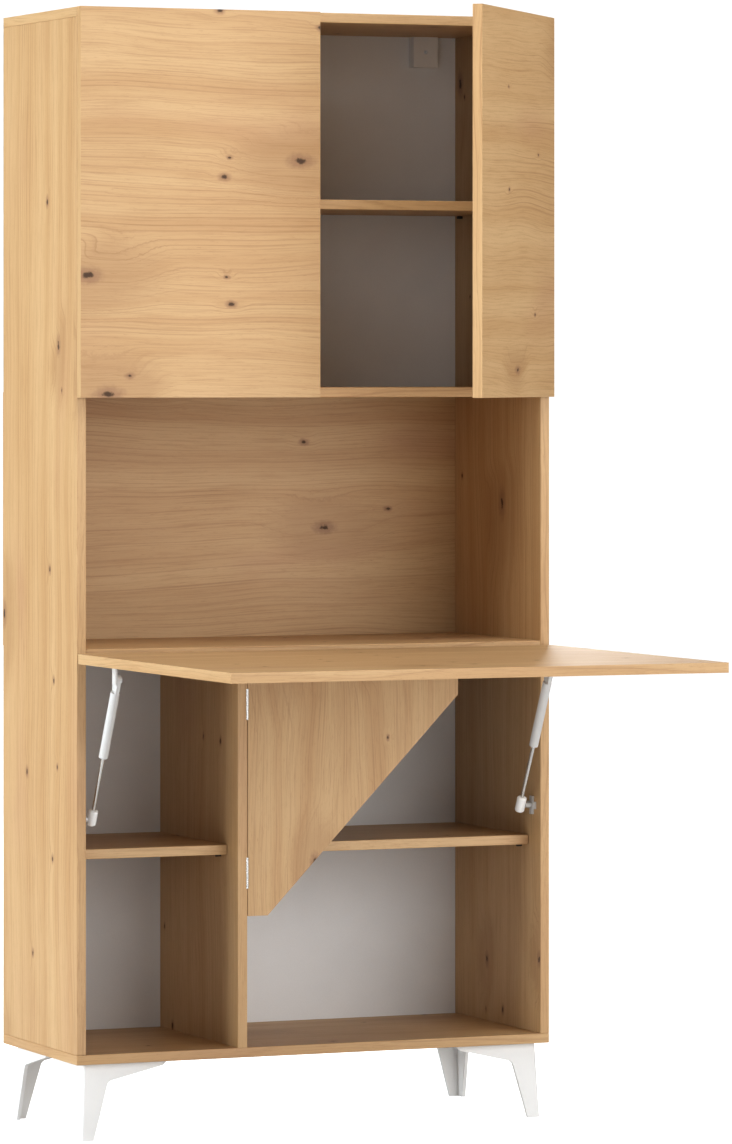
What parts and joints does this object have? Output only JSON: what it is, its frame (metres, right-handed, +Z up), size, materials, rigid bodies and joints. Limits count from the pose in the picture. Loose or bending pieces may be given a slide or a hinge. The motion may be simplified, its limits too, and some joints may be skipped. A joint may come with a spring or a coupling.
{
  "type": "fold down wall desk",
  "caption": "Tall oak-look cabinet on splayed legs with a fold-down desk flap on gas struts, a swinging support, an open niche and a doored cupboard above.",
  "frame": {"origin": "on the floor, midway across the cabinet and midway between the open flap's front edge and the wall side", "axes": "+X to the right seen from the front, +Y from the front to the wall, +Z up"},
  "size_m": [0.8401, 1.0138, 1.824],
  "materials": {
    "oak_decor": "matt oak decor on board, knotty grain",
    "pale_board": "pale painted hardboard",
    "white_plastic": "smooth white",
    "beech": "plain turned beech",
    "bright_steel": "bright steel",
    "grey_metal": "satin grey",
    "dark_metal": "dark, satin"
  },
  "bodies": {
    "carcass": {"left_side": "oak_decor", "right_side": "oak_decor", "top_panel": "oak_decor", "bottom_panel": "oak_decor", "upper_floor": "oak_decor", "desk_shelf": "oak_decor", "divider": "oak_decor", "niche_back": "oak_decor", "upper_back": "pale_board", "lower_back": "pale_board", "front_left_leg": "white_plastic", "front_right_leg": "white_plastic", "rear_left_leg": "white_plastic", "rear_right_leg": "white_plastic", "left_wall_hanger": "white_plastic", "right_wall_hanger": "white_plastic", "carcass_dowels": "beech", "leg_screws": "bright_steel", "support_hinge_pins": "bright_steel", "left_door_hinges": "bright_steel", "right_door_hinges": "bright_steel", "flap_hinges": "bright_steel", "support_fixed_leaves": "bright_steel", "left_strut_stud": "grey_metal", "right_strut_stud": "grey_metal", "upper_shelf_pins": "dark_metal", "left_lower_shelf_pins": "dark_metal", "right_lower_shelf_pins": "dark_metal"},
    "left_door": {"left_door": "oak_decor", "left_door_pins": "bright_steel"},
    "right_door": {"right_door": "oak_decor", "right_door_pins": "bright_steel"},
    "flap": {"flap": "oak_decor", "flap_pins": "bright_steel", "left_strut_bracket": "grey_metal", "right_strut_bracket": "grey_metal"},
    "left_cylinder": {"left_strut_cylinder": "grey_metal"},
    "right_cylinder": {"right_strut_cylinder": "grey_metal"},
    "left_rod": {"left_strut_rod": "bright_steel", "left_strut_socket": "white_plastic"},
    "right_rod": {"right_strut_rod": "bright_steel", "right_strut_socket": "white_plastic"},
    "support": {"support_panel": "oak_decor", "support_swing_leaves": "bright_steel"},
    "upper_shelf": {"upper_shelf": "oak_decor"},
    "left_lower_shelf": {"left_lower_shelf": "oak_decor"},
    "right_lower_shelf": {"right_lower_shelf": "oak_decor"}
  },
  "joints": [
    {"name": "left_door_swing", "type": "hinge", "parent": "carcass", "child": "left_door", "pos_m": [-0.4125, 0.14585, 1.51], "axis": [0, 0, -1], "range_deg": [0, 95]},
    {"name": "right_door_swing", "type": "hinge", "parent": "carcass", "child": "right_door", "pos_m": [0.4125, 0.14585, 1.51], "axis": [0, 0, 1], "range_deg": [-49, 46]},
    {"name": "flap_fold", "type": "hinge", "parent": "carcass", "child": "flap", "pos_m": [0, 0.14585, 0.7767], "axis": [-1, 0, 0], "range_deg": [-90, 0]},
    {"name": "support_swing", "type": "hinge", "parent": "carcass", "child": "support", "pos_m": [-0.12225, 0.15685, 0.56], "axis": [0, 0, -1], "range_deg": [0, 90]},
    {"name": "left_strut_swing", "type": "hinge", "parent": "flap", "child": "left_cylinder", "pos_m": [-0.38, 0.07185, 0.746], "axis": [-1, 0, 0], "range_deg": [-0.2, 113.58]},
    {"name": "left_rod_slide", "type": "slide", "parent": "left_cylinder", "child": "left_rod", "axis": [0, -0.4519, 0.8921], "range_m": [-0.0002, 0.07086]},
    {"name": "right_strut_swing", "type": "hinge", "parent": "flap", "child": "right_cylinder", "pos_m": [0.38, 0.07185, 0.746], "axis": [-1, 0, 0], "range_deg": [-0.2, 113.58]},
    {"name": "right_rod_slide", "type": "slide", "parent": "right_cylinder", "child": "right_rod", "axis": [0, -0.4519, 0.8921], "range_m": [-0.0002, 0.07086]},
    {"name": "upper_shelf_lift", "type": "slide", "parent": "carcass", "child": "upper_shelf", "axis": [0, 0, 1], "range_m": [0, 0.032]},
    {"name": "left_lower_shelf_lift", "type": "slide", "parent": "carcass", "child": "left_lower_shelf", "axis": [0, 0, 1], "range_m": [0, 0.032]},
    {"name": "right_lower_shelf_lift", "type": "slide", "parent": "carcass", "child": "right_lower_shelf", "axis": [0, 0, 1], "range_m": [0, 0.032]}
  ],
  "couplings": [
    {"joint": "left_strut_swing", "follows": "flap_fold", "ratio": -1.2598},
    {"joint": "left_rod_slide", "follows": "flap_fold", "m_per_rad": -0.044984},
    {"joint": "right_strut_swing", "follows": "flap_fold", "ratio": -1.2598},
    {"joint": "right_rod_slide", "follows": "flap_fold", "m_per_rad": -0.044984}
  ]
}
